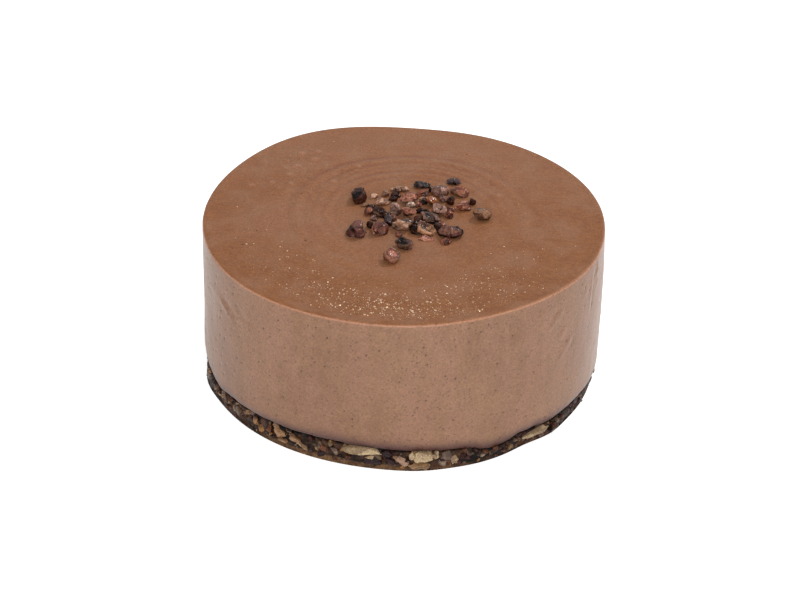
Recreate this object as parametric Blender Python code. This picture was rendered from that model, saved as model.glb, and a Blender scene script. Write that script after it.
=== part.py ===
"""A small round chocolate mousse cake: smooth mousse that was set in a ring, on a thin pressed crust of
nuts and dates, with a cluster of cacao nibs on top.

Sizes are in metres, +Z is up and the front faces -Y. The origin is the middle of the underside.
"""

import math
import random

import bmesh
import bpy
from mathutils import Euler, Vector

MM = 0.001

# The whole cake. The ring's axis stands a little off the middle of the cake's box.
RIM_RADIUS = 50.0 * MM
TOP_HEIGHT = 40.8 * MM
AXIS = Vector((-0.8 * MM, 0.6 * MM, 0.0))
LAYER_GAP = 0.3 * MM
SEGMENTS = 80

# Soft bulges and flats of the rim: direction in degrees from +X, half width in degrees, height.
RIM_LUMPS = (
    (25, 30, 0.85 * MM),
    (86, 18, -1.3 * MM),
    (122, 20, 1.2 * MM),
    (165, 28, -0.65 * MM),
    (225, 22, 0.8 * MM),
    (300, 22, -1.0 * MM),
)

# The side leans out below the rim, towards +X, and most of the lean is in this depth.
LEAN = 0.9 * MM
LEAN_DEPTH = 14.0 * MM

# The top face: a rounded edge, a shallow dish inside it, and ridges left by spreading the mousse. Its
# rings are listed from the rim inwards.
EDGE_ROUND = 0.6 * MM
EDGE_STEPS = 3
DISH_DEPTH = 0.25 * MM
DISH_WIDTH = 2.5 * MM
SWIRL_MIDDLE = Vector((2.0 * MM, 2.0 * MM, 0.0))
SWIRL_REACH = 32.0 * MM
RIDGE_RADII = (28.5 * MM, 23.5 * MM, 20.8 * MM)
RIDGE_HEIGHT = 0.2 * MM
RIDGE_WIDTH = 1.2 * MM
OUTER_TOP_RINGS = (48.6 * MM, 47.2 * MM, 43.0 * MM, 38.0 * MM, 33.0 * MM)
INNER_TOP_RINGS = (15.0 * MM, 8.0 * MM)

# The mousse's lower edge rolls in to the seam with the crust.
ROLL_HEIGHT = 3.0 * MM
ROLL_STEPS = 4
SIDE_STEPS = 6

# The crust, its top edge (the seam) rising and falling round the cake.
CRUST_RADIUS = 50.2 * MM
CRUST_LUMPS = (
    (25, 30, 0.35 * MM),
    (86, 18, -0.5 * MM),
    (122, 20, 0.5 * MM),
    (177, 13, -1.9 * MM),
    (199, 7, 0.45 * MM),
    (225, 22, 0.3 * MM),
    (278, 11, 0.6 * MM),
    (293, 7, 0.3 * MM),
    (309, 6, -0.6 * MM),
    (320, 5, 0.35 * MM),
)
CRUST_MIDDLE = 4.4 * MM
SEAM_HEIGHT = 4.3 * MM
SEAM_INSET = 1.1 * MM
SEAM_START = 20.0 * MM
SEAM_RINGS = (15.0 * MM, 30.0 * MM, 42.0 * MM)
SEAM_LUMPS = (
    (30, 25, 0.6 * MM),
    (80, 9, -0.9 * MM),
    (130, 30, 0.5 * MM),
    (175, 12, -0.7 * MM),
    (209, 5, -0.9 * MM),
    (252, 36, 1.55 * MM),
    (299, 7, -1.7 * MM),
    (322, 16, -0.7 * MM),
    (350, 14, -2.1 * MM),
)
CRUST_FOOT_ROUND = 0.2 * MM
CRUST_ROUGHNESS = 0.3 * MM
CRUST_SEED = 4

# Nuts and date pieces in the crust's face: direction in degrees, height, length, tallness, slope in
# degrees, and how far it stands out.
CRUST_PIECES = (
    (204.2, 3.0, 4.2, 2.6, -30, 0.0),
    (211.0, 2.6, 2.6, 2.2, -20, 0.1),
    (219.0, 2.4, 5.0, 2.8, -10, 0.2),
    (227.3, 3.4, 2.6, 1.4, -50, 0.4),
    (229.1, 2.6, 3.0, 1.4, -50, 0.4),
    (231.9, 3.0, 2.6, 2.6, 10, 0.3),
    (236.1, 3.6, 3.4, 2.0, -10, 0.5),
    (237.1, 1.8, 3.2, 1.8, 0, 0.3),
    (241.3, 3.5, 3.2, 2.2, 5, 0.5),
    (248.1, 4.2, 3.6, 2.4, 0, 0.3),
    (249.5, 2.0, 2.6, 2.2, 15, 0.3),
    (255.3, 4.3, 1.9, 2.4, 0, 0.2),
    (260.9, 4.6, 8.2, 2.4, -4, 0.5),
    (264.0, 2.3, 4.6, 2.8, 0, 0.5),
    (268.4, 4.3, 3.4, 1.8, 0, 0.3),
    (272.1, 3.2, 4.2, 2.0, -35, 0.5),
    (276.6, 1.3, 5.2, 2.0, 0, 0.6),
    (278.1, 3.9, 7.2, 2.8, 0, 0.4),
    (284.3, 3.3, 2.6, 2.6, 0, 0.3),
    (286.6, 2.2, 2.2, 3.0, 10, 0.3),
    (295.0, 1.9, 2.0, 1.6, 0, 0.2),
    (304.2, 1.5, 2.4, 1.8, 0, 0.4),
    (307.6, 2.6, 1.9, 2.0, 0, 0.2),
    (313.6, 2.4, 7.4, 2.0, 0, 0.4),
    (319.6, 1.5, 3.0, 2.4, 0, 1.0),
    (326.2, 2.4, 4.4, 2.4, 0, 0.2),
)
CRUST_PIECE_DEPTH = 2.6 * MM
CRUST_PIECE_POINTS = 13
CRUST_PIECE_CLEARANCE = 0.25 * MM
HIDDEN_PIECES = 28
HIDDEN_FROM = 334.0
HIDDEN_TO = 560.0

# Cacao nibs: place on the top from the ring's axis, length, width, thickness and turn in degrees. One
# that lies on others is as thick as the two together.
NIBS = (
    (-11.2, 8.6, 5.2, 4.4, 4.0, 60),
    (-7.4, 10.0, 2.6, 1.8, 1.4, 20),
    (-5.2, 7.0, 5.0, 2.8, 2.2, 35),
    (-4.6, 11.2, 2.2, 2.0, 1.8, 0),
    (-1.0, 13.9, 5.0, 1.8, 1.5, 8),
    (-2.2, 10.8, 2.6, 2.6, 1.8, 40),
    (1.3, 8.0, 5.0, 3.2, 3.2, 15),
    (4.5, 16.4, 4.8, 3.2, 1.7, 20),
    (4.8, 12.0, 3.4, 2.4, 1.9, -20),
    (6.9, 14.2, 1.2, 1.8, 2.0, -30),
    (9.3, 12.8, 4.6, 3.8, 3.2, -35),
    (7.2, 7.0, 3.0, 2.4, 2.8, 20),
    (10.0, 9.5, 2.2, 2.2, 2.1, 0),
    (12.0, 8.0, 2.1, 2.2, 2.6, 30),
    (13.0, 18.6, 3.8, 2.4, 1.9, -10),
    (14.4, 13.0, 5.0, 3.4, 2.6, -30),
    (15.1, 5.6, 3.9, 3.2, 2.8, 0),
    (17.5, 8.2, 1.9, 2.0, 2.2, 20),
    (20.0, 1.4, 4.6, 4.2, 3.7, -15),
    (-8.5, 1.5, 2.4, 2.8, 2.4, -40),
    (-5.7, 1.2, 4.6, 3.2, 2.6, -40),
    (-3.4, -3.3, 2.6, 3.4, 3.1, 10),
    (-2.0, 2.4, 3.5, 3.5, 3.2, 30),
    (1.9, 4.5, 2.4, 2.2, 2.7, 0),
    (1.7, 0.5, 4.5, 2.6, 3.2, -30),
    (0.5, -4.7, 5.4, 4.6, 3.6, 40),
    (6.8, -1.6, 5.4, 3.6, 3.4, -20),
    (9.1, 2.4, 3.8, 3.0, 3.5, -20),
    (11.8, 1.2, 2.2, 2.4, 2.2, 30),
    (5.8, -6.8, 5.4, 4.4, 3.1, -20),
    (12.0, -8.0, 6.2, 5.0, 3.9, -15),
    (6.0, -10.2, 4.0, 2.0, 1.2, 0),
    (10.9, -11.5, 3.0, 2.4, 1.9, 45),
    (-11.3, -8.6, 5.2, 5.0, 4.4, -10),
    (-8.0, -5.0, 2.0, 2.0, 2.3, 0),
    (-5.8, -7.2, 5.2, 4.6, 3.9, 30),
    (0.6, -14.0, 4.8, 4.4, 3.4, -15),
    (-2.4, -20.6, 4.4, 4.2, 3.3, 0),
    (5.0, 7.6, 2.4, 2.0, 1.4, 0),
    (5.0, 9.8, 2.2, 1.3, 1.0, 0),
    (5.6, 2.2, 2.6, 2.2, 2.2, 30),
    (3.1, -6.8, 2.6, 3.2, 2.8, 20),
    (8.6, -5.4, 2.4, 3.2, 2.8, -20),
    (-7.2, -1.2, 2.0, 2.0, 1.6, 0),
    (-0.8, -9.0, 1.8, 1.6, 1.5, 0),
)
NIB_SINK = 0.5 * MM
NIB_POINTS = 14
NIB_TILT = 14.0
NIB_SEED = 11

BROKEN_CORNERS = 0.65
GOLDEN_ANGLE = math.radians(137.508)
SHARP_ANGLE = math.radians(35)


def clear_scene():
    for obj in list(bpy.data.objects):
        bpy.data.objects.remove(obj, do_unlink=True)


def smooth(share):
    """Eases from 0 to 1, level at both ends."""
    share = min(max(share, 0.0), 1.0)
    return share * share * (3 - 2 * share)


def mix(first, second, share):
    return first + (second - first) * share


def lumps(angle, table):
    """The sum of a table's soft bulges in one direction."""
    total = 0.0
    for middle, half_width, height in table:
        apart = (math.degrees(angle) - middle + 180) % 360 - 180
        total += height * math.exp(-((apart / half_width) ** 2))
    return total


def rim_radius(angle):
    return RIM_RADIUS + lumps(angle, RIM_LUMPS)


def side_radius(angle, z):
    lean = LEAN * (1 - math.exp(-(TOP_HEIGHT - z) / LEAN_DEPTH))
    return rim_radius(angle) + lean * (0.5 + 0.5 * math.cos(angle))


def crust_radius(angle):
    return CRUST_RADIUS + lumps(angle, CRUST_LUMPS)


def seam_radius(angle):
    return crust_radius(angle) - SEAM_INSET


def seam_height(angle):
    return SEAM_HEIGHT + lumps(angle, SEAM_LUMPS)


def crust_top(angle, radius):
    """The crust's upper face: level in the middle, and following the seam at the side."""
    share = smooth((radius - SEAM_START) / (seam_radius(angle) - SEAM_START))
    return mix(CRUST_MIDDLE, seam_height(angle), share)


def about_axis(angle, radius, z):
    """A point at a direction and distance from the ring's axis."""
    return AXIS + Vector((radius * math.cos(angle), radius * math.sin(angle), z))


def top_height(place):
    """The top face's height inside its raised rim, at a place measured from the ring's axis."""
    from_swirl = (place - SWIRL_MIDDLE).length
    ridges = 0.0
    for radius in RIDGE_RADII:
        ridges += RIDGE_HEIGHT * math.exp(-(((from_swirl - radius) / RIDGE_WIDTH) ** 2))
    return TOP_HEIGHT - DISH_DEPTH + ridges


def top_point(angle, radius):
    """A point of a ring on the top, round about the swirl inside and shaped as the rim outside."""
    outward = smooth((radius - SWIRL_REACH) / (RIM_RADIUS - SWIRL_REACH))
    reach = radius * mix(1.0, rim_radius(angle) / RIM_RADIUS, outward)
    place = Vector((reach * math.cos(angle), reach * math.sin(angle), 0.0))
    place += SWIRL_MIDDLE * (1 - outward)
    from_edge = RIM_RADIUS - EDGE_ROUND - radius
    rise = DISH_DEPTH * (1 - smooth(from_edge / DISH_WIDTH))
    return AXIS + place + Vector((0.0, 0.0, top_height(place) + rise))


def ring(point_at):
    """One ring of points from a function of the direction."""
    return [point_at(math.tau * step / SEGMENTS) for step in range(SEGMENTS)]


def new_object(name, mesh):
    obj = bpy.data.objects.new(name, mesh)
    bpy.context.scene.collection.objects.link(obj)
    return obj


def closed_body(name, bottom, rings, top):
    """A closed body skinned over rings, from the underside's middle out, up and in to the top's middle."""
    form = bmesh.new()
    loops = [[form.verts.new(point) for point in points] for points in rings]
    bottom_vertex = form.verts.new(bottom)
    top_vertex = form.verts.new(top)
    for step in range(SEGMENTS):
        after = (step + 1) % SEGMENTS
        form.faces.new((bottom_vertex, loops[0][after], loops[0][step]))
        form.faces.new((top_vertex, loops[-1][step], loops[-1][after]))
        for low, high in zip(loops, loops[1:]):
            form.faces.new((low[step], low[after], high[after], high[step]))
    mesh = bpy.data.meshes.new(name)
    form.to_mesh(mesh)
    form.free()
    return new_object(name, mesh)


def broken_piece(name, size, points, draw):
    """An angular piece: the convex hull of uneven points on a squarish ellipsoid."""
    form = bmesh.new()
    for index in range(points):
        height = 1 - (2 * index + 1) / points
        turn = index * GOLDEN_ANGLE + draw.uniform(-0.5, 0.5)
        flat = math.sqrt(1 - height * height)
        direction = (flat * math.cos(turn), flat * math.sin(turn), height)
        reach = draw.uniform(0.9, 1.06)
        corner = [math.copysign(abs(part) ** BROKEN_CORNERS, part) * reach for part in direction]
        form.verts.new(Vector([part * side / 2 for part, side in zip(corner, size)]))
    hull = bmesh.ops.convex_hull(form, input=form.verts)
    inside = [item for item in hull["geom_interior"] if isinstance(item, bmesh.types.BMVert)]
    bmesh.ops.delete(form, geom=inside, context="VERTS")
    mesh = bpy.data.meshes.new(name)
    form.to_mesh(mesh)
    form.free()
    return new_object(name, mesh)


def fuse(body, pieces):
    """Joins the pieces to the body by one union, and removes them."""
    group = bpy.data.collections.new(body.name + "_pieces")
    bpy.context.scene.collection.children.link(group)
    for piece in pieces:
        bpy.context.scene.collection.objects.unlink(piece)
        group.objects.link(piece)
    union = body.modifiers.new("union", "BOOLEAN")
    union.operation = "UNION"
    union.operand_type = "COLLECTION"
    union.collection = group
    union.solver = "EXACT"
    union.material_mode = "TRANSFER"
    bpy.context.view_layer.update()
    graph = bpy.context.evaluated_depsgraph_get()
    body.data = bpy.data.meshes.new_from_object(body.evaluated_get(graph))
    body.modifiers.clear()
    for piece in pieces:
        bpy.data.objects.remove(piece, do_unlink=True)
    bpy.data.collections.remove(group)


def linear(channel):
    """One 0 to 255 screen colour channel as linear light."""
    share = channel / 255
    return share / 12.92 if share <= 0.04045 else ((share + 0.055) / 1.055) ** 2.4


def material(name, screen_colour, roughness):
    made = bpy.data.materials.new(name)
    made.use_nodes = True
    shader = made.node_tree.nodes["Principled BSDF"]
    shader.inputs["Base Color"].default_value = [linear(part) for part in screen_colour] + [1.0]
    shader.inputs["Roughness"].default_value = roughness
    shader.inputs["Metallic"].default_value = 0.0
    return made


def shade_smooth(obj):
    obj.data.shade_smooth()
    obj.data.set_sharp_from_angle(angle=SHARP_ANGLE)


def underside_rings():
    """The mousse's underside, a gap above the crust, out to the seam."""
    rings = []
    for radius in SEAM_RINGS:
        rings.append(ring(lambda a, r=radius: about_axis(a, r, crust_top(a, r) + LAYER_GAP)))
    rings.append(ring(lambda a: about_axis(a, seam_radius(a), seam_height(a) + LAYER_GAP)))
    return rings


def roll_point(angle, share):
    """A point of the rolled-in lower edge, from the seam (0) to the side (1)."""
    quarter = share * math.pi / 2
    base = seam_height(angle) + LAYER_GAP
    z = base + ROLL_HEIGHT * (1 - math.cos(quarter))
    side = side_radius(angle, base + ROLL_HEIGHT)
    return about_axis(angle, mix(seam_radius(angle), side, math.sin(quarter)), z)


def side_point(angle, share):
    """A point of the side between the rolled lower edge (0) and the rounded upper edge (1)."""
    low = seam_height(angle) + LAYER_GAP + ROLL_HEIGHT
    z = mix(low, TOP_HEIGHT - EDGE_ROUND, share)
    return about_axis(angle, side_radius(angle, z), z)


def edge_point(angle, share):
    """A point of the rounded upper edge, from the side (0) to the top (1)."""
    quarter = share * math.pi / 2
    z = TOP_HEIGHT - EDGE_ROUND * (1 - math.sin(quarter))
    return about_axis(angle, side_radius(angle, z) - EDGE_ROUND * (1 - math.cos(quarter)), z)


def top_ring_radii():
    radii = list(OUTER_TOP_RINGS)
    for radius in RIDGE_RADII:
        radii += [radius + RIDGE_WIDTH, radius, radius - RIDGE_WIDTH]
    return radii + list(INNER_TOP_RINGS)


def make_mousse():
    rings = underside_rings()
    rings += [ring(lambda a, s=step: roll_point(a, s / ROLL_STEPS)) for step in range(1, ROLL_STEPS + 1)]
    rings += [ring(lambda a, s=step: side_point(a, s / SIDE_STEPS)) for step in range(1, SIDE_STEPS + 1)]
    rings += [ring(lambda a, s=step: edge_point(a, s / EDGE_STEPS)) for step in range(1, EDGE_STEPS + 1)]
    rings += [ring(lambda a, r=radius: top_point(a, r)) for radius in top_ring_radii()]
    bottom = about_axis(0.0, 0.0, CRUST_MIDDLE + LAYER_GAP)
    top = AXIS + SWIRL_MIDDLE + Vector((0.0, 0.0, top_height(SWIRL_MIDDLE)))
    mousse = closed_body("mousse", bottom, rings, top)
    mousse.data.materials.append(material("chocolate mousse", (152, 110, 86), 0.42))
    return mousse


def make_nibs():
    draw = random.Random(NIB_SEED)
    finish = material("cacao nibs", (78, 46, 36), 0.35)
    nibs = []
    for index, (x, y, length, width, thickness, turn) in enumerate(NIBS):
        size = (length * MM, width * MM, thickness * MM)
        nib = broken_piece(f"nib_{index + 1}", size, NIB_POINTS, draw)
        place = Vector((x * MM, y * MM, 0.0))
        z = top_height(place) + thickness * MM / 2 - NIB_SINK
        tilt = [math.radians(draw.uniform(-NIB_TILT, NIB_TILT)) for _ in range(2)]
        nib.rotation_euler = Euler((tilt[0], tilt[1], math.radians(turn)))
        nib.location = AXIS + place + Vector((0.0, 0.0, z))
        nib.data.materials.append(finish)
        nibs.append(nib)
    return nibs


def rough_ring(radius_at, z_at, draw):
    """A ring of the crust's side, its points pushed in and out unevenly."""
    def point(angle):
        rough = draw.uniform(-CRUST_ROUGHNESS, CRUST_ROUGHNESS)
        return about_axis(angle, radius_at(angle) + rough, z_at(angle))
    return ring(point)


def make_crust():
    draw = random.Random(CRUST_SEED)
    foot = ring(lambda a: about_axis(a, crust_radius(a) - CRUST_FOOT_ROUND, 0.0))
    wall = [
        rough_ring(crust_radius, lambda a, s=share: s * seam_height(a), draw)
        for share in (0.14, 0.38, 0.62, 0.86)
    ]
    edge = ring(lambda a: about_axis(a, crust_radius(a) - SEAM_INSET / 2, seam_height(a)))
    seam = ring(lambda a: about_axis(a, seam_radius(a), seam_height(a)))
    upper = [ring(lambda a, r=radius: about_axis(a, r, crust_top(a, r))) for radius in reversed(SEAM_RINGS)]
    rings = [foot] + wall + [edge, seam] + upper
    crust = closed_body("crust", about_axis(0.0, 0.0, 0.0), rings, about_axis(0.0, 0.0, CRUST_MIDDLE))
    crust.data.materials.append(material("date and cacao", (70, 52, 43), 0.5))
    return crust


def hidden_pieces(draw):
    """Nuts and date pieces round the back, which the front doesn't show, at an even spacing."""
    pieces = []
    for index in range(HIDDEN_PIECES):
        step = (index + draw.uniform(0.25, 0.75)) / HIDDEN_PIECES
        direction = mix(HIDDEN_FROM, HIDDEN_TO, step) % 360
        length = draw.uniform(2.4, 7.0)
        tall = draw.uniform(1.8, 2.6)
        height = draw.uniform(0.35, 0.6) * seam_height(math.radians(direction)) / MM
        pieces.append((direction, height, length, tall, draw.uniform(-30, 30), draw.uniform(0.2, 0.6)))
    return pieces


def keep_in_crust(piece, direction):
    """Holds a piece's points between the crust's two faces, which stay even."""
    angle = math.radians(direction)
    low = CRUST_PIECE_CLEARANCE
    high = seam_height(angle) - CRUST_PIECE_CLEARANCE
    for vertex in piece.data.vertices:
        world = piece.matrix_basis @ vertex.co
        world.z = min(max(world.z, low), high)
        vertex.co = piece.matrix_basis.inverted() @ world


def make_crust_pieces():
    draw = random.Random(CRUST_SEED)
    finish = material("nuts", (150, 123, 96), 0.45)
    pieces = []
    for index, (direction, height, length, tall, slope, out) in enumerate(
        list(CRUST_PIECES) + hidden_pieces(draw)
    ):
        size = (length * MM, CRUST_PIECE_DEPTH, tall * MM)
        piece = broken_piece(f"crust_piece_{index + 1}", size, CRUST_PIECE_POINTS, draw)
        angle = math.radians(direction)
        radius = crust_radius(angle) + out * MM - CRUST_PIECE_DEPTH / 2
        piece.rotation_euler = Euler((0.0, math.radians(-slope), angle + math.pi / 2))
        piece.location = about_axis(angle, radius, height * MM)
        keep_in_crust(piece, direction)
        piece.data.materials.append(finish)
        pieces.append(piece)
    return pieces


def main():
    clear_scene()
    mousse = make_mousse()
    fuse(mousse, make_nibs())
    shade_smooth(mousse)
    crust = make_crust()
    fuse(crust, make_crust_pieces())
    shade_smooth(crust)


main()
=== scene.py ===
"""The looks of a small round chocolate mousse cake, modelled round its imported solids.

Sizes are in millimetres and places are measured from the ring's axis, unless a comment says otherwise;
new_piece() writes them into the frame, in metres. Directions are in degrees from +X, and the front
faces -Y.
"""

import itertools
import math
import random

import bmesh
import bpy
import numpy as np
from mathutils import Euler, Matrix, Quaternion, Vector
from mathutils.kdtree import KDTree


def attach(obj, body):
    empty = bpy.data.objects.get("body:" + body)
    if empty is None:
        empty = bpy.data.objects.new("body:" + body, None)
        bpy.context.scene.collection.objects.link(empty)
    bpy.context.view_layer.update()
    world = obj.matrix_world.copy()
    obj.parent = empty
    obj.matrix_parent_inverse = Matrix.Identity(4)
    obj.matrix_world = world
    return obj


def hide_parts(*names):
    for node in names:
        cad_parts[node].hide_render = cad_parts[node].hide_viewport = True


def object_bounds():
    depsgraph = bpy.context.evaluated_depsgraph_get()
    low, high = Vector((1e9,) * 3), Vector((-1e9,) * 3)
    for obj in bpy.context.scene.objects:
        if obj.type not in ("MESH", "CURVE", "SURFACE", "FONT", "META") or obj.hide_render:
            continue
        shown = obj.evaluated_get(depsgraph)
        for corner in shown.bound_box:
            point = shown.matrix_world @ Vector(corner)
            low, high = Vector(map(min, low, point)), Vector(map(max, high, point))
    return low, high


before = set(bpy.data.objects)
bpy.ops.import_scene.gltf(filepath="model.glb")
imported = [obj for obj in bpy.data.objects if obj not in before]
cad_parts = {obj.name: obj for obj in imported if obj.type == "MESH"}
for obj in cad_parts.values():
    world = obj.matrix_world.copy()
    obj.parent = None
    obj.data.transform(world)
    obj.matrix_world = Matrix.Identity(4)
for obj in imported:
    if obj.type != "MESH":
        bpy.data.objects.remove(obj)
CAD_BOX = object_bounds()

MM = 0.001

# The whole cake, as in the part's source.
RIM_RADIUS = 50.0
TOP_HEIGHT = 40.8
AXIS = np.array((-0.8, 0.6, 0.0))

# Soft bulges and flats of the rim: direction, half width in degrees, height.
RIM_LUMPS = (
    (25, 30, 0.85),
    (86, 18, -1.3),
    (122, 20, 1.2),
    (165, 28, -0.65),
    (225, 22, 0.8),
    (300, 22, -1.0),
)
LEAN = 0.9
LEAN_DEPTH = 14.0

# The top face: its rounded edge, the dish inside it, how steep the painted highlight line on its rim lies
# and how deep it goes, and the ridges left by spreading the mousse as radius, height and width.
EDGE_ROUND = 0.6
DISH_DEPTH = 0.25
DISH_WIDTH = 2.5
RIM_NORMAL = 0.52
RIM_HIGHLIGHT_DEPTH = 1.2
SWIRL_MIDDLE = np.array((2.0, 2.0))
SWIRL_REACH = 32.0
RIDGES = (
    (28.5, 0.24, 1.3),
    (25.6, 0.14, 0.9),
    (23.5, 0.24, 1.1),
    (20.8, 0.24, 1.2),
    (17.6, 0.12, 1.2),
    (32.4, 0.08, 1.4),
    (36.5, 0.06, 1.6),
)
RIDGES_STRONGEST = 125.0

# Painted shade in bands between the ridges: radius, how strong, width.
BANDS = ((30.4, 0.95, 0.9), (27.1, 0.8, 0.7), (24.6, 0.6, 0.5), (22.1, 1.0, 0.8), (19.2, 0.7, 0.8))
BANDS_STRONGEST = 100.0

# The rolled lower edge, and the crust with its rising and falling seam, lumps as on the rim.
ROLL_HEIGHT = 3.0
CRUST_RADIUS = 50.2
CRUST_LUMPS = (
    (25, 30, 0.35),
    (86, 18, -0.5),
    (122, 20, 0.5),
    (177, 13, -1.9),
    (199, 7, 0.45),
    (225, 22, 0.3),
    (278, 11, 0.6),
    (293, 7, 0.3),
    (309, 6, -0.6),
    (320, 5, 0.35),
)
CRUST_MIDDLE = 4.4
SEAM_HEIGHT = 4.3
SEAM_INSET = 1.1
SEAM_START = 20.0
SEAM_LUMPS = (
    (30, 25, 0.6),
    (80, 9, -0.9),
    (130, 30, 0.5),
    (175, 12, -0.7),
    (209, 5, -0.9),
    (252, 36, 1.55),
    (299, 7, -1.7),
    (322, 16, -0.7),
    (350, 14, -2.1),
)
SEAM_WOBBLE = 0.16
CRUST_FOOT_ROUND = 0.2

# How finely the mousse is divided: rings on the underside as (points, radius), then rows round the side
# of COLUMNS points each, and rings on the top as (points, from radius, to radius).
COLUMNS = 640
UNDERSIDE_RINGS = ((80, 15.0), (160, 30.0), (320, 42.0))
ROLL_ROWS = 8
SIDE_ROWS = 63
EDGE_ROWS = 5
TOP_ROW_STEP = 0.5
TOP_RINGS = ((640, 49.0, 25.0), (320, 24.5, 12.5), (160, 12.0, 6.0), (80, 5.5, 0.5))

# Soft unevenness of the mousse: how high, and how far from lump to lump.
SIDE_UNEVEN = ((0.10, 9.0), (0.045, 3.5), (0.012, 1.1))
TOP_UNEVEN = ((0.07, 14.0), (0.02, 4.0), (0.008, 1.2))

# Fine streaks of the top, drawn out along X.
STREAK_HEIGHT = 0.014
STREAK_SIZE = 0.8
STREAK_DRAWN_OUT = 1.9

# Creases left in the side where the ring's lining folded: from direction and height, to direction and
# height, and depth. A minus depth is a raised line.
CREASES = (
    (211.5, 33.4, 215.5, 32.0, 0.30),
    (215.5, 32.0, 219.5, 30.4, 0.38),
    (208.5, 31.8, 213.5, 31.0, -0.14),
    (201.5, 31.5, 207.5, 31.8, -0.14),
    (221.0, 33.4, 224.0, 31.4, 0.13),
    (226.0, 36.0, 231.5, 35.4, -0.08),
    (223.5, 31.0, 230.5, 32.0, 0.10),
    (235.5, 31.0, 242.5, 32.4, 0.08),
    (242.5, 33.2, 247.0, 32.8, -0.06),
    (320.5, 34.8, 315.5, 31.4, -0.20),
    (324.5, 25.6, 320.5, 21.0, -0.20),
    (322.5, 29.6, 320.5, 27.2, -0.16),
    (317.0, 39.0, 315.0, 37.2, -0.08),
    (314.5, 37.6, 312.0, 35.2, -0.08),
    (327.0, 24.8, 324.5, 22.2, 0.08),
    (341.5, 39.0, 342.0, 32.8, -0.18),
    (339.0, 37.4, 337.5, 28.6, 0.18),
    (334.0, 35.4, 331.0, 33.6, -0.08),
)
CREASE_WIDTH = 0.9
CREASE_LIP = 0.55
CREASE_SEED = 31
HIDDEN_CREASES = 16
HIDDEN_CREASES_FROM = 350.0
HIDDEN_CREASES_TO = 560.0
HIDDEN_CREASE_DEPTHS = (0.12, -0.10, -0.14, 0.18)

# Air pores. The largest ones stand at these directions and heights, and the rest are scattered. A pore's
# depth is a share of its size.
LARGE_PORES = (
    (277.0, 34.5), (277.5, 32.5), (243.5, 24.0), (286.0, 25.5), (275.5, 18.0), (258.0, 14.0),
    (233.5, 19.5), (265.0, 33.5), (231.0, 32.0), (236.5, 36.0), (237.5, 35.0), (233.5, 30.5),
    (223.0, 19.0), (247.5, 27.5), (250.5, 27.5), (310.5, 21.0), (325.0, 13.5), (298.0, 19.5),
)
LARGE_PORE_SIZES = (0.32, 0.38)
SIDE_PORES = 900
TOP_PORES = 90
SMALLEST_PORE = 0.16
PORE_RANGE = 0.20
PORE_DEPTH = 0.9
PORE_ROOM = 3
PORE_SEED = 5

# Small bumps on the top, with a painted highlight: the largest ones, then the middle and spread of the
# small ones' patch.
LARGE_BUMPS = (
    (-22.7, 33.4), (-23.5, 29.1), (-27.0, 32.1), (-29.6, 20.4), (-28.8, 15.7),
    (-27.6, 25.4), (-38.7, 14.3), (-12.0, 25.8), (-17.9, 17.2), (24.0, 13.0),
)
BUMP_MIDDLE = (-28.0, 23.0)
BUMP_SPREAD = (7.0, 8.0)
SMALL_BUMPS = 60
BUMP_HEIGHT = 0.26
BUMP_SEED = 17

# Pits in the top: place and size.
TOP_PITS = (
    (-38.5, -15.6, 0.42),
    (-23.7, -12.7, 0.46),
    (-21.8, -13.4, 0.34),
)

# Beads of moisture on the top. Patches: direction, half width in degrees, from radius, to radius, how
# many, and the largest bead.
GLINT_PATCHES = (
    (270.0, 18.0, 38.5, 47.0, 400, 0.60),
    (250.0, 26.0, 36.0, 46.8, 350, 0.48),
    (264.0, 48.0, 30.0, 45.5, 560, 0.38),
    (294.0, 24.0, 32.0, 46.0, 280, 0.44),
    (325.0, 24.0, 26.0, 44.0, 120, 0.32),
    (302.0, 20.0, 30.0, 45.5, 400, 0.24),
    (215.0, 22.0, 30.0, 45.0, 120, 0.36),
    (265.0, 26.0, 16.0, 30.0, 90, 0.30),
    (128.0, 26.0, 30.0, 44.0, 70, 0.30),
    (60.0, 60.0, 26.0, 45.0, 80, 0.26),
)
BEAD_SEED = 41

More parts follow.
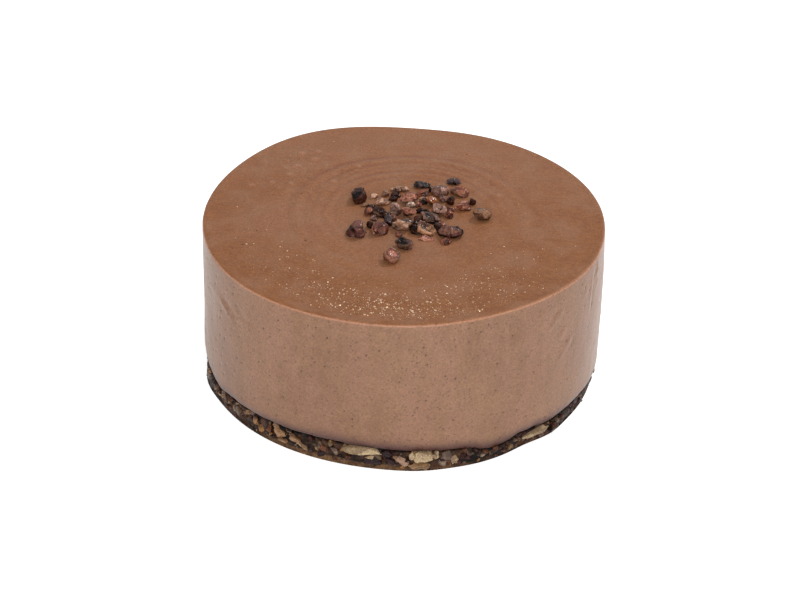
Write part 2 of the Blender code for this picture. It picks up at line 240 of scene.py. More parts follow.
# Cacao nibs: place, length, width, thickness, turn in degrees and tone, and for some of them how far it
# lies on others and how deep its upper face is hollowed.
NIBS = (
    (-11.2, 8.6, 5.2, 4.4, 4.0, 60, "black"),
    (-7.4, 10.0, 2.6, 1.8, 1.4, 20, "tan"),
    (-5.2, 7.0, 5.0, 2.8, 2.2, 35, "tan"),
    (-4.6, 11.2, 2.2, 2.0, 1.8, 0, "brown"),
    (-1.0, 13.9, 5.0, 1.8, 1.2, 8, "tan", 0.3, 0.0),
    (-2.2, 10.8, 2.6, 2.6, 1.8, 40, "black"),
    (1.3, 8.0, 5.0, 3.2, 2.4, 15, "pink", 0.8, 0.0),
    (4.5, 16.4, 4.8, 3.2, 1.7, 20, "slate"),
    (4.8, 12.0, 3.4, 2.4, 1.9, -20, "red"),
    (6.9, 14.2, 1.2, 1.8, 2.0, -30, "black"),
    (9.3, 12.8, 4.6, 3.8, 3.2, -35, "mauve"),
    (7.2, 7.0, 3.0, 2.4, 2.1, 20, "orange", 0.7, 0.0),
    (10.0, 9.5, 2.2, 2.2, 2.1, 0, "mauve"),
    (12.0, 8.0, 2.1, 2.2, 2.6, 30, "black"),
    (13.0, 18.6, 3.8, 2.4, 1.9, -10, "slate"),
    (14.4, 13.0, 5.0, 3.4, 2.6, -30, "red", 0.0, 0.3),
    (15.1, 5.6, 3.9, 3.2, 2.8, 0, "pink"),
    (17.5, 8.2, 1.9, 2.0, 2.2, 20, "black"),
    (20.0, 1.4, 4.6, 4.2, 3.7, -15, "olive", 0.0, 0.2),
    (-8.5, 1.5, 2.4, 2.8, 2.4, -40, "red"),
    (-5.7, 1.2, 4.6, 3.2, 2.6, -40, "black", 0.0, 0.3),
    (-3.4, -3.3, 2.6, 3.4, 3.1, 10, "slate"),
    (-2.0, 2.4, 3.5, 3.5, 3.2, 30, "grey"),
    (1.9, 4.5, 2.4, 2.2, 2.0, 0, "pale", 0.7, 0.0),
    (1.7, 0.5, 4.5, 2.6, 2.3, -30, "pink", 0.9, 0.0),
    (0.5, -4.7, 5.4, 4.6, 3.6, 40, "striped", 0.0, 0.3),
    (6.8, -1.6, 5.4, 3.6, 2.8, -20, "shell", 0.6, 0.2),
    (9.1, 2.4, 3.8, 3.0, 2.8, -20, "grey", 0.7, 0.0),
    (11.8, 1.2, 2.2, 2.4, 2.2, 30, "red"),
    (5.8, -6.8, 5.4, 4.4, 3.1, -20, "hollow", 0.0, 0.8),
    (12.0, -8.0, 6.2, 5.0, 3.9, -15, "purple", 0.0, 0.2),
    (6.0, -10.2, 4.0, 2.0, 1.2, 0, "pink"),
    (10.9, -11.5, 3.0, 2.4, 1.9, 45, "red"),
    (-11.3, -8.6, 5.2, 5.0, 4.4, -10, "purple"),
    (-8.0, -5.0, 2.0, 2.0, 2.3, 0, "black"),
    (-5.8, -7.4, 4.6, 4.2, 3.8, 30, "rose"),
    (0.6, -14.0, 4.8, 4.4, 3.4, -15, "purple", 0.0, 0.2),
    (-2.4, -20.6, 4.2, 4.2, 3.2, 0, "bowl", 0.0, 0.35),
    (5.0, 7.6, 2.4, 2.0, 1.4, 0, "black"),
    (5.0, 9.8, 2.2, 1.3, 1.0, 0, "tan"),
    (5.6, 2.2, 2.6, 2.2, 2.2, 30, "black"),
    (3.1, -6.8, 2.6, 3.2, 2.8, 20, "black"),
    (8.6, -5.4, 2.4, 3.2, 2.8, -20, "black"),
    (-7.2, -1.2, 2.0, 2.0, 1.6, 0, "mauve"),
    (-0.8, -9.0, 1.8, 1.6, 1.5, 0, "red"),
    (-2.6, 8.6, 2.4, 1.8, 1.7, 20, "black"),
    (-8.0, 4.4, 2.6, 1.8, 1.5, 30, "black"),
    (-4.0, 0.0, 2.2, 1.8, 1.6, 0, "black"),
    (4.2, 3.2, 2.4, 1.8, 1.6, 40, "black"),
    (8.6, 5.2, 2.6, 1.8, 1.5, 20, "black"),
    (7.2, 9.4, 2.0, 1.6, 1.6, 0, "red"),
    (3.6, 6.2, 2.2, 1.6, 1.4, 0, "red"),
    (4.0, -1.4, 2.4, 2.0, 2.0, 0, "red"),
    (3.4, -4.2, 2.4, 2.0, 2.2, 0, "black"),
    (9.6, -3.4, 2.6, 2.0, 1.9, -20, "red"),
    (-2.2, -1.0, 2.2, 2.0, 1.8, 0, "rose"),
    (11.8, 4.4, 2.2, 1.8, 1.6, 0, "red"),
    (1.6, 11.4, 2.4, 1.6, 1.3, 0, "rose"),
    (-9.6, 5.6, 2.0, 1.6, 1.2, 0, "brown"),
)

# How deep a nib's foot is sunk, the share of it that lies below, how far it tilts, and the length from
# which it is finely divided.
NIB_SINK = 0.1
NIB_BEDDED = 0.16
NIB_TILT = 14.0
NIB_FINE_FROM = 2.7
NIB_SEED = 23

# How near and how far a nib's flats and corners lie, how sharp its edges are, how rough it is, how much
# cracks and chips take away, and how much painted shade darkens its lower part. The bowl is smoother than
# the rest.
NIB_REACH = (0.72, 1.12)
NIB_SHARPNESS = (6.0, 15.0)
NIB_ROUGH = 0.14
NIB_CRACK_DEPTH = 0.12
NIB_CHIP_DEPTH = 0.17
NIB_LOW_SHADE = 0.82
BOWL_RUGGED = 0.3
BOWL_INSIDE = (158, 98, 78)

# A nib's tones, in screen colours: its dark faces and its light faces.
NIB_TONES = {
    "black": ((14, 5, 3), (62, 30, 20)),
    "brown": ((96, 60, 42), (140, 100, 76)),
    "tan": ((136, 94, 72), (202, 156, 130)),
    "pink": ((118, 62, 44), (190, 126, 102)),
    "pale": ((128, 96, 80), (210, 174, 150)),
    "red": ((66, 28, 18), (146, 84, 62)),
    "orange": ((126, 64, 32), (196, 120, 72)),
    "slate": ((22, 14, 16), (84, 66, 66)),
    "grey": ((86, 58, 48), (168, 128, 112)),
    "rose": ((84, 40, 30), (170, 112, 90)),
    "mauve": ((88, 56, 48), (150, 108, 92)),
    "olive": ((60, 34, 22), (138, 98, 72)),
    "shell": ((20, 9, 8), (124, 90, 78)),
    "hollow": ((78, 42, 24), (160, 110, 76)),
    "purple": ((20, 9, 9), (106, 66, 58)),
    "bowl": ((60, 24, 18), (122, 68, 52)),
    "striped": ((58, 32, 22), (184, 138, 110)),
}
SHELL_RIM_COLOUR = (190, 142, 112)
NIB_GROUPS = {
    "nibs_dark": ("black", "slate", "purple", "bowl"),
    "nibs_red": ("red", "brown", "hollow", "mauve", "rose"),
    "nibs_tan": ("tan", "pink", "orange", "pale", "striped"),
    "nibs_shell": ("shell", "grey", "olive"),
}

# Nuts and date pieces in the crust's face: direction, height, length, tallness, slope in degrees, how
# far it stands out, and its tone.
CRUST_PIECES = (
    (204.2, 3.0, 4.2, 2.6, -30, 0.0, "mauve"),
    (211.0, 2.6, 2.6, 2.2, -20, 0.1, "tan"),
    (219.0, 2.4, 5.0, 2.8, -10, 0.2, "mottled"),
    (227.3, 3.4, 2.6, 1.4, -50, 0.4, "golden"),
    (229.1, 2.6, 3.0, 1.4, -50, 0.4, "golden"),
    (231.9, 3.0, 2.6, 2.6, 10, 0.3, "russet"),
    (236.1, 3.6, 3.4, 2.0, -10, 0.5, "light"),
    (237.1, 1.8, 3.2, 1.8, 0, 0.3, "light"),
    (241.3, 3.5, 3.2, 2.2, 5, 0.5, "light"),
    (248.1, 4.2, 3.6, 2.4, 0, 0.3, "mottled"),
    (249.5, 2.0, 2.6, 2.2, 15, 0.3, "purple"),
    (255.3, 4.3, 1.9, 2.4, 0, 0.2, "golden"),
    (260.9, 5.2, 9.6, 3.0, -4, 0.9, "cream"),
    (264.0, 2.3, 4.6, 2.8, 0, 0.5, "purple"),
    (268.4, 4.6, 3.8, 2.6, 0, 0.3, "purple"),
    (272.0, 3.0, 5.2, 2.3, -38, 0.6, "pink"),
    (276.6, 1.3, 5.2, 2.0, 0, 0.6, "tan"),
    (278.1, 4.0, 7.4, 2.9, 0, 0.3, "cream"),
    (284.3, 3.4, 3.0, 3.2, 0, 0.3, "grey"),
    (286.6, 2.2, 2.2, 3.0, 10, 0.3, "pale"),
    (295.0, 1.9, 2.0, 1.6, 0, 0.2, "grey"),
    (304.2, 1.5, 2.4, 1.8, 0, 0.4, "tan"),
    (307.6, 2.6, 1.9, 2.0, 0, 0.2, "mauve"),
    (313.8, 2.6, 9.4, 2.0, 5, 0.8, "cream"),
    (319.6, 1.5, 3.0, 2.4, 0, 1.0, "dark"),
    (326.2, 2.4, 4.4, 2.4, 0, 0.2, "dark"),
    (233.1, 2.2, 1.0, 1.0, 0, 0.5, "golden"),
    (257.0, 2.2, 2.0, 1.6, 0, 0.3, "russet"),
    (263.2, 3.4, 2.4, 0.8, 10, 0.55, "pale"),
    (269.4, 2.6, 3.0, 1.8, 0, 0.3, "purple"),
    (289.6, 2.4, 3.4, 2.2, 0, 0.1, "purple"),
    (294.2, 0.9, 2.0, 0.9, 0, 0.2, "light"),
    (306.9, 1.2, 1.6, 1.1, 0, 0.2, "russet"),
    (274.8, 4.2, 1.8, 2.4, 20, 0.5, "cream"),
    (276.2, 4.3, 1.9, 3.0, -15, 0.6, "cream"),
    (277.8, 4.2, 2.0, 3.2, 10, 0.6, "pale"),
    (279.4, 4.2, 1.9, 3.1, -10, 0.6, "cream"),
    (281.2, 4.1, 1.9, 2.8, 15, 0.5, "cream"),
)
CRUST_PIECE_DEPTH = 2.6
CRUST_PIECE_FLATS = 10
HIDDEN_PIECES = 28
HIDDEN_FROM = 334.0
HIDDEN_TO = 560.0
HIDDEN_TONES = ("dark", "mottled", "dark", "purple", "light", "cream", "pale", "mauve", "golden", "dark")

# Smaller bits all round the crust's face: how many, shortest, longest, how far they stand in or out, and
# their tones.
MEDIUM_BITS = (170, 1.6, 3.6, (-0.25, 0.1), (
    "dark", "purple", "mottled", "russet", "dark", "mauve",
    "light", "dark", "mottled", "tan", "purple", "grey",
))
MEDIUM_DEPTH = 1.6
CRUMBS = (560, 0.6, 1.9, (-0.3, 0.12), (
    "purple", "dark", "dark", "mottled", "russet", "mauve", "dark", "light",
    "purple", "tan", "dark", "grey", "golden", "mottled", "pale",
))
CRUMB_DEPTH = 1.1
CRUMB_FLATS = 8

# Where the crust's nuts and crumbs stand farther in: direction, half width in degrees, how far.
CRUST_TUCKED = ((188, 11, 0.85),)

# Darker stretches of the crust's face, from and to a direction, and the tones of the small bits there.
DARK_STRETCHES = ((287.5, 306.0), (317.0, 361.0))
DARK_TONES = ("purple", "dark", "purple", "russet", "mottled")
CRUST_SEED = 4
CRUST_TONES = {
    "mauve": ((60, 38, 30), (108, 80, 64)),
    "tan": ((98, 72, 46), (146, 112, 78)),
    "mottled": ((32, 18, 12), (96, 74, 54)),
    "golden": ((92, 60, 30), (150, 108, 66)),
    "russet": ((48, 24, 14), (92, 54, 32)),
    "light": ((108, 76, 50), (146, 110, 78)),
    "purple": ((20, 6, 7), (60, 30, 28)),
    "dark": ((28, 14, 9), (74, 46, 32)),
    "cream": ((122, 99, 74), (166, 144, 112)),
    "pale": ((118, 94, 70), (160, 136, 106)),
    "grey": ((76, 58, 48), (124, 102, 86)),
    "pink": ((112, 84, 66), (148, 118, 96)),
}
CRUST_GROUPS = {
    "crust_nuts": ("cream", "pale", "grey", "pink", "tan", "golden", "light"),
    "crust_dates": ("purple", "dark", "russet", "mauve", "mottled"),
}
CRUST_BODY_TONES = ((12, 5, 3), (70, 43, 26))
# Tones of the painted light reflected from the floor along the crust's foot.
CRUST_FOOT_LIGHT_TONES = ((72, 48, 28), (116, 86, 56))

# Where the crust is darker, and where a pale, golden strip of painted light reflected from the floor
# shows
# along its foot: direction, half width and amount. Then how far its body lies behind the face, and how
# far bits stand up past the seam.
CRUST_DARK_PLACES = ((296, 8, 0.25), (240, 5, 0.2))
CRUST_FOOT_LIGHT_PLACES = ((254, 20, 0.85), (60, 30, 0.6), (150, 22, 0.5))
CRUST_ROWS = 20
CRUST_BODY_INSET = 0.45
CRUST_LIP = 0.6
CRUST_LIP_DEPTH = 0.7

# Finishes whose colour comes from each point's tone: material, roughness from and to, size of its grain,
# depth of its bumps, gloss and coat.
FINISHES = {
    "nibs_dark": ("dark_nib", 0.22, 0.46, 0.55, 0.14, 0.10, 0.10),
    "nibs_red": ("red_nib", 0.22, 0.46, 0.55, 0.14, 0.20, 0.30),
    "nibs_tan": ("tan_nib", 0.26, 0.50, 0.55, 0.14, 0.22, 0.34),
    "nibs_shell": ("shell_nib", 0.22, 0.46, 0.55, 0.14, 0.16, 0.18),
    "crust_body": ("date_and_cacao", 0.34, 0.65, 0.4, 0.12, 0.12, 0.02),
    "crust_nuts": ("chopped_nut", 0.35, 0.6, 0.3, 0.07, 0.22, 0.04),
    "crust_dates": ("date", 0.24, 0.5, 0.3, 0.1, 0.14, 0.06),
    "crust_crumbs": ("crumb", 0.30, 0.6, 0.25, 0.07, 0.14, 0.03),
}

# The mousse's two finishes: material, gloss and sheen. Then the sizes of their textures.
SIDE_FINISH = ("mousse_side", 0.30, 0.19)
TOP_FINISH = ("mousse_top", 0.16, 0.04)
WIDE_PATCHES = 22.0
PATCHES = 4.0
GREY_PATCHES = 7.0
UPRIGHT_BANDS = 3.2
GRAIN = 0.45
PIT_SPACING = 1.25
SURFACE_DEPTH = 0.05

# Screen colours of the mousse.
SIDE_COLOURS = ((119, 84, 61), (139, 104, 79))
SIDE_PINK_COLOUR = (138, 97, 82)
BAND_SQUEEZE = 0.15
TOP_COLOURS = ((122, 72, 35), (149, 94, 52))
TOP_BAND_SHADE_COLOUR = (126, 75, 50)
TOP_GREY_COLOUR = (148, 107, 80)
# The top's back, painted greyer as a painted reflection; the greyer places use this colour too.
TOP_BACK_COLOUR = (150, 105, 80)

# Greyer places of the top: place, reach, amount. Its back is painted greyer too, as a painted reflection,
# from this far along Y.
TOP_GREY_PLACES = ((0.0, -8.0, 18.0, 0.6), (-30.0, -2.0, 13.0, 0.6))
BACK_FROM = -14
BACK_REACH = 70
BACK_AMOUNT = 0.55

# Painted shade along the lower edge: its height above the seam and how strong, and a line of painted
# shade close to the seam.
LOW_EDGE_HEIGHT = 4.2
LOW_EDGE_AMOUNT = 0.55
LOW_LINE_HEIGHT = 3.0
LOW_LINE_AMOUNT = 0.4
LOW_EDGE_SHADE_COLOUR = (76, 47, 42)
# A painted highlight on the rim's rounded edge and on the top's bumps.
PAINTED_HIGHLIGHT_COLOUR = (180, 129, 101)
# Painted shade in the pores.
PORE_SHADE_COLOUR = (50, 28, 22)

# Screen colours of the faintest and the brightest beads, their paleness a painted glint, and how quickly
# they fade.
BEAD_GLINT_COLOURS = ((146, 100, 64), (250, 216, 180))
BEAD_FADING = 2.3

# The camera, from the ring's axis.
CAMERA_DISTANCE = 520.0
CAMERA_ELEVATION = 31.75
CAMERA_PIVOT = 20.0
CAMERA_AIM = (0.0, -1.59, 17.43)
CAMERA_ROLL = 1.92
CAMERA_LENS = 92.06
SENSOR_WIDTH = 36.0

# Light. Places and sizes are in metres, power in watts.
WORLD_STRENGTH = 0.6
KEY_LIGHT = ((0.42, 0.52, 0.75), 0.18, 3.6)
FILL_LIGHT = ((0.10, -0.98, 0.42), 0.7, 5.65)
FLOOR_RADIUS = 4.0
FLOOR_COLOUR = (0.88, 0.88, 0.88, 1.0)
FLOOR_LIFT = 0.6

GOLDEN_ANGLE = math.radians(137.508)
HASH_STEPS = np.array((374761393, 668265263, 974634777))
HASH_SEED_STEP = 362437
HASH_MIX = 1274126177
HASH_RANGE = 0x7FFFFFFF


def smooth(share):
    """Eases from 0 to 1, level at both ends."""
    share = np.clip(share, 0.0, 1.0)
    return share * share * (3 - 2 * share)


def mix(first, second, share):
    return first + (second - first) * share


def bell(distance, width):
    """1 at no distance, and falling softly to 0 past the width."""
    return np.exp(-((distance / width) ** 2))


def far_from(points, x=0.0, y=0.0):
    """How far points are from a place, seen from above."""
    return np.hypot(points[:, 0] - x, points[:, 1] - y)


def angle_of(points):
    return np.arctan2(points[:, 1], points[:, 0])


def hashed(cells, seed):
    """Even values from -1 to 1, one for each row of whole numbers."""
    mixed = (cells @ HASH_STEPS + seed * HASH_SEED_STEP) & HASH_RANGE
    mixed = ((mixed ^ (mixed >> 13)) * HASH_MIX) & HASH_RANGE
    return ((mixed ^ (mixed >> 16)) & 0xFFFF) / 32767.5 - 1


def noise(points, size, seed):
    """Smooth noise from -1 to 1 at points, its lumps about as wide as the size."""
    scaled = np.asarray(points) / size
    cell = np.floor(scaled).astype(np.int64)
    share = scaled - cell
    ease = share ** 3 * (share * (share * 6 - 15) + 10)
    total = np.zeros(len(scaled))
    for corner in itertools.product((0, 1), repeat=3):
        weights = np.where(corner, ease, 1 - ease).prod(axis=1)
        total += weights * hashed(cell + np.array(corner), seed)
    return total


def layered_noise(points, layers, seed):
    """The sum of noises, each given as its height and size."""
    return sum(height * noise(points, size, seed + step) for step, (height, size) in enumerate(layers))


def linear(screen_colour):
    """A 0 to 255 screen colour as linear light."""
    share = np.asarray(screen_colour, float) / 255
    return np.where(share <= 0.04045, share / 12.92, ((share + 0.055) / 1.055) ** 2.4)


def lumps(angle, table):
    """The sum of a table's soft bulges in each direction."""
    total = np.zeros_like(angle)
    for middle, half_width, height in table:
        apart = (np.degrees(angle) - middle + 180) % 360 - 180
        total += height * bell(apart, half_width)
    return total


def rim_radius(angle):
    return RIM_RADIUS + lumps(angle, RIM_LUMPS)


def side_radius(angle, z):
    lean = LEAN * (1 - np.exp(-(TOP_HEIGHT - z) / LEAN_DEPTH))
    return rim_radius(angle) + lean * (0.5 + 0.5 * np.cos(angle))


def crust_radius(angle):
    return CRUST_RADIUS + lumps(angle, CRUST_LUMPS)


def seam_radius(angle):
    return crust_radius(angle) - SEAM_INSET


def seam_height(angle):
    """Where the mousse meets the crust, with a small uneven wobble."""
    place = around(angle, np.full_like(angle, CRUST_RADIUS), np.zeros_like(angle))
    return SEAM_HEIGHT + lumps(angle, SEAM_LUMPS) + SEAM_WOBBLE * noise(place, 1.9, 71)


def crust_top(angle, radius):
    """The crust's upper face: level in the middle, and following the seam at the side."""
    share = smooth((radius - SEAM_START) / (seam_radius(angle) - SEAM_START))
    return mix(CRUST_MIDDLE, seam_height(angle), share)


def around(angle, radius, z):
    """Points at directions and distances from the axis."""
    return np.stack([radius * np.cos(angle), radius * np.sin(angle), z + 0 * angle], axis=-1)


def circle(count):
    return np.arange(count) * math.tau / count


def about_swirl(points):
    """How far points are from the swirl's middle, and in which direction."""
    swirl = points[:, :2] - SWIRL_MIDDLE
    return far_from(swirl), angle_of(swirl)


def ridge_height(points):
    """How high the swirl's ridges stand at points of the top."""
    from_swirl, turn = about_swirl(points)
    strength = 0.75 + 0.45 * np.cos(turn - math.radians(RIDGES_STRONGEST))
    height = np.zeros(len(points))
    for radius, ridge, width in RIDGES:
        height += strength * ridge * bell(from_swirl - radius, width)
    return height


def grey_places(points):
    """How much greyer the top is in its listed places."""
    total = np.zeros(len(points))
    for x, y, reach, amount in TOP_GREY_PLACES:
        total += amount * bell(far_from(points, x, y), reach)
    return total


def band_shade_share(points):
    """How strongly the painted shade between the swirl's ridges shows, most of all behind."""
    from_swirl, turn = about_swirl(points)
    from_swirl += 0.5 * noise(points, 9.0, 181)
    strength = smooth(0.35 + 0.75 * np.cos(turn - math.radians(BANDS_STRONGEST)))
    strength *= 0.8 + 0.3 * noise(points, 6.0, 182)
    share = np.zeros(len(points))
    for radius, amount, width in BANDS:
        share += strength * amount * bell(from_swirl - radius, width)
    return share


def top_height(places):
    """The top face's height inside its raised rim, at places from the axis."""
    return TOP_HEIGHT - DISH_DEPTH + ridge_height(places)


def top_ring(count, radius):
    """A ring of the top, round about the swirl inside and shaped as the rim outside."""
    angle = circle(count)
    outward = smooth((radius - SWIRL_REACH) / (RIM_RADIUS - SWIRL_REACH))
    reach = radius * mix(1.0, rim_radius(angle) / RIM_RADIUS, outward)
    places = around(angle, reach, 0.0)[:, :2] + SWIRL_MIDDLE * (1 - outward)
    from_edge = RIM_RADIUS - EDGE_ROUND - radius
    rise = DISH_DEPTH * (1 - smooth(from_edge / DISH_WIDTH))
    return np.column_stack([places, top_height(places) + rise])


def band(low, low_count, high, high_count):
    """Triangles between two rings, each given by its first point's number and its count. One ring may
    have twice as many points as the other."""
    if low_count < high_count:
        return band(high, high_count, low, low_count)[:, ::-1]
    step = np.arange(high_count)
    after = (step + 1) % high_count
    if low_count == high_count:
        parts = (
            (low + step, low + after, high + after),
            (low + step, high + after, high + step),
        )
    else:
        between = low + 2 * step + 1
        parts = (
            (low + 2 * step, between, high + step),
            (between, high + after, high + step),
            (between, low + (2 * step + 2) % low_count, high + after),
        )
    return np.concatenate([np.column_stack(part) for part in parts])


def skin(bottom, rings, top):
    """A closed body over rings, from the underside's middle out, up and in to the top's middle: its
    points, its triangles and the number of each ring's first point."""
    points = np.concatenate([[bottom]] + rings + [[top]])
    counts = [len(ring) for ring in rings]
    starts = 1 + np.concatenate([[0], np.cumsum(counts)[:-1]])
    step = np.arange(counts[0])
    triangles = [np.column_stack((0 * step, starts[0] + (step + 1) % counts[0], starts[0] + step))]
    for index in range(len(rings) - 1):
        triangles.append(band(starts[index], counts[index], starts[index + 1], counts[index + 1]))
    step = np.arange(counts[-1])
    last = np.full_like(step, len(points) - 1)
    triangles.append(np.column_stack((last, starts[-1] + step, starts[-1] + (step + 1) % counts[-1])))
    return points, np.concatenate(triangles), starts


def point_normals(points, triangles):
    corners = points[triangles]
    faces = np.cross(corners[:, 1] - corners[:, 0], corners[:, 2] - corners[:, 0])
    total = np.zeros_like(points)
    for corner in range(3):
        for axis in range(3):
            total[:, axis] += np.bincount(triangles[:, corner], faces[:, axis], len(points))
    return total / np.linalg.norm(total, axis=1)[:, None]


def new_object(name, data):
    made = bpy.data.objects.new(name, data)
    bpy.context.scene.collection.objects.link(made)
    return made


def new_piece(name, points, triangles, finish, numbers=None, colours=None):
    """A mesh piece in the frame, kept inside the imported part's box, with its per-point attributes."""
    low, high = (np.array(corner) for corner in CAD_BOX)
    placed = np.clip((points + AXIS) * MM, low, high)
    mesh = bpy.data.meshes.new(name)
    mesh.from_pydata(placed.tolist(), [], triangles.tolist())
    for title, values in (numbers or {}).items():
        mesh.attributes.new(title, "FLOAT", "POINT").data.foreach_set("value", values.astype(np.float32))
    for title, values in (colours or {}).items():
        full = np.column_stack([values, np.ones(len(values))]).astype(np.float32)
        mesh.attributes.new(title, "FLOAT_COLOR", "POINT").data.foreach_set("color", full.ravel())
    mesh.shade_smooth()
    mesh.materials.append(finish)
    return new_object(name, mesh)


def ball(level):
    """Even directions and the triangles between them."""
    form = bmesh.new()
    bmesh.ops.create_icosphere(form, subdivisions=level, radius=1.0)
    directions = np.array([vertex.co[:] for vertex in form.verts])
    triangles = np.array([[vertex.index for vertex in face.verts] for face in form.faces])
    form.free()
    return directions, triangles


def turned(points, tilt_x, tilt_y, turn):
    """Points turned about X, then Y, then Z, by angles in degrees."""
    spin = Euler([math.radians(part) for part in (tilt_x, tilt_y, turn)]).to_matrix()
    return points @ np.array(spin).T


def broken_form(directions, size, draw, flats, sharpness, rough=0.07, nearest=0.58, farthest=4.0):
    """An angular piece of a given size, and the number of the flat that each point lies on. Flats lie
    from the nearest distance to 1 from the middle, and no corner is farther out than the farthest."""
    step = np.arange(flats)
    height = 1 - (2 * step + 1) / flats
    turn = step * GOLDEN_ANGLE + draw.uniform(0, math.tau)
    normals = around(turn, np.sqrt(1 - height ** 2), height) + draw.uniform(-0.45, 0.45, (flats, 3))
    normals /= np.linalg.norm(normals, axis=1)[:, None]
    reach = np.clip(directions @ normals.T, 0, None) / draw.uniform(nearest, 1.0, flats)
    facet = reach.argmax(axis=1)
    limit = np.maximum((reach ** sharpness).sum(axis=1) ** (1 / sharpness), 1 / farthest)
    points = directions / limit[:, None]
    low, high = points.min(axis=0), points.max(axis=0)
    points = (points - (low + high) / 2) / (high - low) * np.array(size)
    seed = int(draw.integers(1, 10000))
    finest = min(size)
    relief = layered_noise(points, ((rough, 0.45 * finest), (rough * 0.5, 0.2 * finest)), seed)
    return points * (1 + relief[:, None]), facet


def tone_colours(points, facet, tones, size, draw):
    """Each flat's own shade between two tones, mottled."""
    seed = int(draw.integers(1, 10000))
    shares = draw.uniform(-0.1, 1.1, facet.max() + 1)[facet]
    shares += 0.34 * noise(points, 0.30 * size, seed) + 0.26 * noise(points, 0.13 * size, seed + 1)
    return toned(tones, shares)


def toned(tones, shares):
    """A colour between two screen colours for each share."""
    return mix(linear(tones[0]), linear(tones[1]), smooth(shares)[:, None])


def group_of(tone, groups):
    """The name of the group that a tone belongs to."""
    return next(name for name, tones in groups.items() if tone in tones)


class Gathered:
    """Parts of one piece, collected before they become a single mesh."""

    def __init__(self):
        self.points = []
        self.triangles = []
        self.colours = []
        self.count = 0

    def add(self, points, triangles, colours):
        self.points.append(points)
        self.triangles.append(triangles + self.count)
        self.colours.append(colours)
        self.count += len(points)

    def piece(self, name, finish):
        return new_piece(
            name,
            np.concatenate(self.points),
            np.concatenate(self.triangles),
            finish,
            colours={"tone": np.concatenate(self.colours)},
        )


def set_inputs(tree, node, inputs):
    """Gives a node's inputs a value or a link each."""
    for title, value in inputs.items():
        if isinstance(value, bpy.types.NodeSocket):
            tree.links.new(value, node.inputs[title])
        else:
            node.inputs[title].default_value = value


def add_node(tree, kind, inputs=None, **settings):
    node = tree.nodes.new(kind)
    for title, value in settings.items():
        setattr(node, title, value)
    set_inputs(tree, node, inputs or {})
    return node


def number_of(tree, title):
    return add_node(tree, "ShaderNodeAttribute", attribute_name=title).outputs["Fac"]


def tone_of(tree):
    return add_node(tree, "ShaderNodeAttribute", attribute_name="tone").outputs["Color"]


def place_of(tree):
    return add_node(tree, "ShaderNodeTexCoord").outputs["Object"]


def noise_of(tree, place, size, detail=3.0):
    """A noise texture's value, for lumps of a size in millimetres."""
    inputs = {"Vector": place, "Scale": 1 / (size * MM), "Detail": detail}
    return add_node(tree, "ShaderNodeTexNoise", inputs).outputs["Fac"]


def stretched(tree, place, scale):
    """Places whose textures come out longer along the axes that are scaled down."""
    return add_node(tree, "ShaderNodeMapping", {"Vector": place, "Scale": scale}).outputs["Vector"]


def maths(tree, operation, first, second):
    return add_node(tree, "ShaderNodeMath", {0: first, 1: second}, operation=operation).outputs[0]


def weighed(tree, *terms):
    """The sum of values, each given with its weight."""
    total = maths(tree, "MULTIPLY", *terms[0])
    for term in terms[1:]:
        total = maths(tree, "ADD", total, maths(tree, "MULTIPLY", *term))
    return total


def spread(tree, value, low, high, to_low=0.0, to_high=1.0):
    """A value's range from low to high stretched to another range, and held there."""
    inputs = {"Value": value, "From Min": low, "From Max": high, "To Min": to_low, "To Max": to_high}
    return add_node(tree, "ShaderNodeMapRange", inputs).outputs["Result"]


def blended(tree, share, first, second, blend="MIX"):
    """A colour between two colours or sockets."""
    node = add_node(tree, "ShaderNodeMix", {0: share}, data_type="RGBA", blend_type=blend)
    set_inputs(tree, node, {6: first, 7: second})
    return node.outputs[2]


def screen(colour):
    """A screen colour as a node's colour value."""
    return [*linear(colour), 1.0]


def layered(tree, colour, *layers):
    """A colour with others laid over it, each given as its share and its screen colour."""
    for share, over in layers:
        colour = blended(tree, share, colour, screen(over))
    return colour


def shaded(tree, colour, shade):
    """A colour made darker or lighter by a value."""
    grey = add_node(tree, "ShaderNodeCombineXYZ", {0: shade, 1: shade, 2: shade}).outputs[0]
    return blended(tree, 1.0, colour, grey, "MULTIPLY")


def new_finish(name):
    finish = bpy.data.materials.new(name)
    finish.use_nodes = True
    return finish, finish.node_tree, finish.node_tree.nodes["Principled BSDF"]


def bumps_of(tree, heights, distance):
    """A bump from a height value, its depth in millimetres."""
    inputs = {"Height": heights, "Distance": distance * MM}
    return add_node(tree, "ShaderNodeBump", inputs).outputs["Normal"]


def side_colour(tree, place, tone):
    """The side: tan and mauve, in faint upright bands."""
    bands = noise_of(tree, stretched(tree, place, (1.0, 1.0, BAND_SQUEEZE)), UPRIGHT_BANDS, 2.0)
    share = spread(tree, weighed(tree, (tone, 0.8), (bands, 0.2)), 0.32, 0.68)
    pinker = spread(tree, bands, 0.42, 0.64, 0.0, 0.3)
    return layered(tree, screen(SIDE_COLOURS[0]), (share, SIDE_COLOURS[1]), (pinker, SIDE_PINK_COLOUR))


def top_colour(tree, place, tone, streaks):
    """The top: browner and streaked, with painted light on the ridges, painted shade between them, greyer
    patches and a painted reflection towards the back.
    """
    # The ridges are painted a little lighter, as painted light on their crests.
    terms = ((tone, 0.4), (streaks, 0.6), (number_of(tree, "ridge"), 0.12))
    return layered(
        tree,
        screen(TOP_COLOURS[0]),
        (spread(tree, weighed(tree, *terms), 0.34, 0.70), TOP_COLOURS[1]),
        # A painted reflection towards the back, then painted shade between the ridges.
        (number_of(tree, "behind"), TOP_BACK_COLOUR),
        (number_of(tree, "band"), TOP_BAND_SHADE_COLOUR),
        (spread(tree, noise_of(tree, place, GREY_PATCHES, 2.0), 0.42, 0.64, 0.0, 0.45), TOP_GREY_COLOUR),
    )


